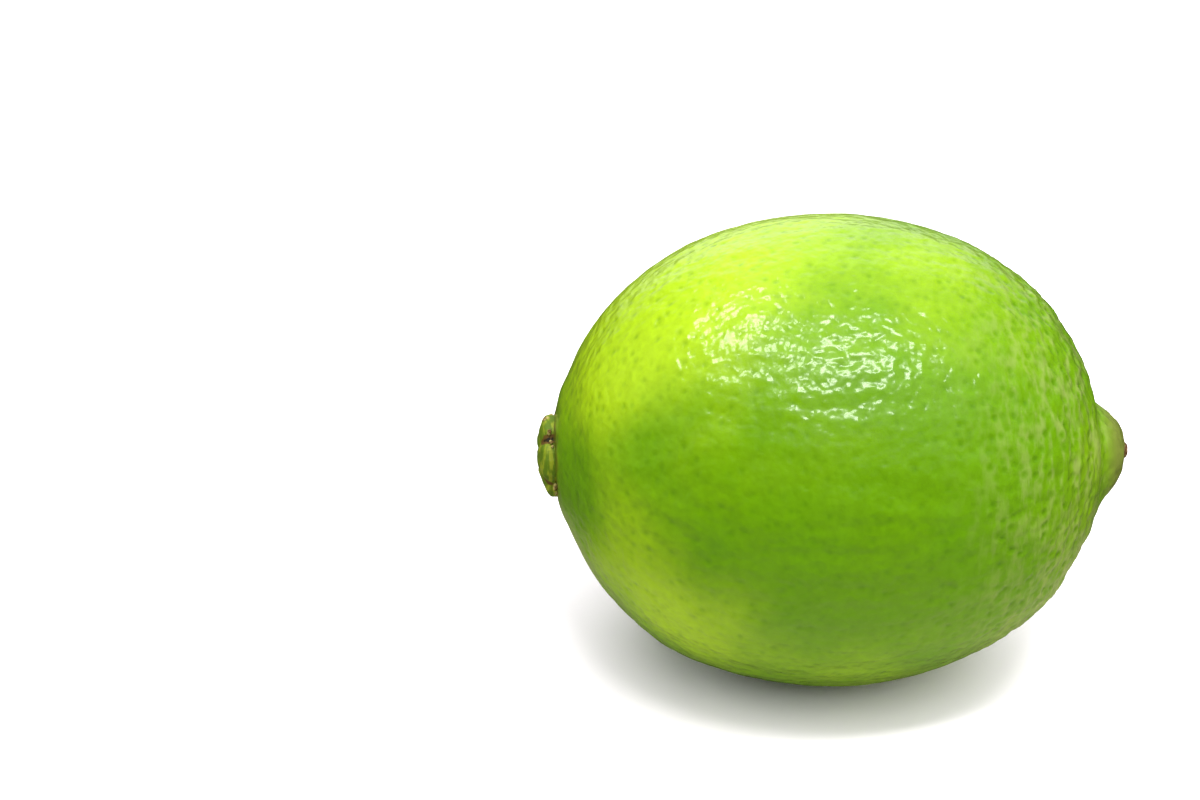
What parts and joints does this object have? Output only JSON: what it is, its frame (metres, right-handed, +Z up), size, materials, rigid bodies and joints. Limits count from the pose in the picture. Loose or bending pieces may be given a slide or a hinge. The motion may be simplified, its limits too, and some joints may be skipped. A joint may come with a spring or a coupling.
{
  "type": "lime",
  "caption": "Fresh whole lime lying on its side: a blunt oval green fruit with a nipple at the tip end and a dry calyx button at the stem end.",
  "frame": {"origin": "on the resting surface, under the middle of the lime's box, which is about 0.5 mm towards the tip from the middle of the flat spot", "axes": "+X along the fruit's axis from the stem end to the tip, +Z up from the flat spot, +Y across the fruit"},
  "size_m": [0.0648, 0.0522, 0.0516],
  "materials": {
    "peel": "waxy yellow-green citrus peel, finely pebbled with oil glands, glossy",
    "calyx": "dry olive-green calyx with brown crumbs and a brown cut-stalk scar, dull",
    "style": "dry brown style scar, dull"
  },
  "bodies": {
    "root": {"fruit": "peel", "calyx_button": "calyx", "style_stub": "style"}
  },
  "joints": []
}
